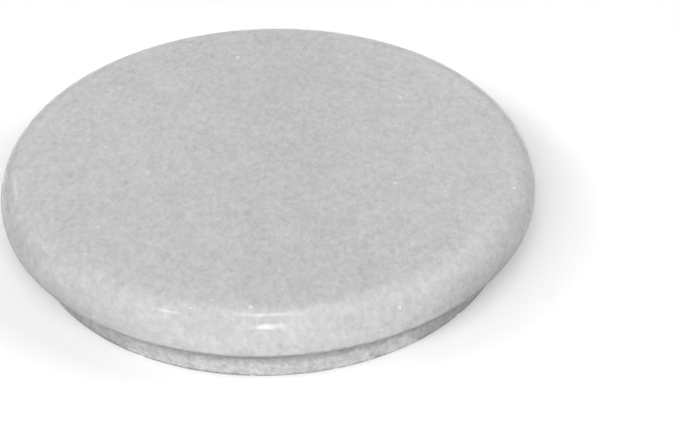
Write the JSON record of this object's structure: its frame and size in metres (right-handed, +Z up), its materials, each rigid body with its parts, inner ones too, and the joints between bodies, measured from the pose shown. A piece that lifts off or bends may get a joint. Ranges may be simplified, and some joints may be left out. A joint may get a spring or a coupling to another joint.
{
  "type": "chakla rolling board",
  "caption": "Round marble rolling board for flatbread dough: a bullnosed work slab bonded with stone resin on a narrower marble foot ring.",
  "frame": {"origin": "centre of the round face that the board stands on, level with the table", "axes": "+Z up along the axis of turning; the board is round, so +X and +Y are any two directions across it"},
  "size_m": [0.24, 0.24, 0.037],
  "materials": {
    "slab_marble": "polished fine-grained white-grey marble",
    "foot_marble": "honed fine-grained white-grey marble",
    "stone_resin": "cured stone adhesive, dull"
  },
  "bodies": {
    "root": {"board_slab": "slab_marble", "foot_ring": "foot_marble", "resin_bond": "stone_resin"}
  },
  "joints": []
}
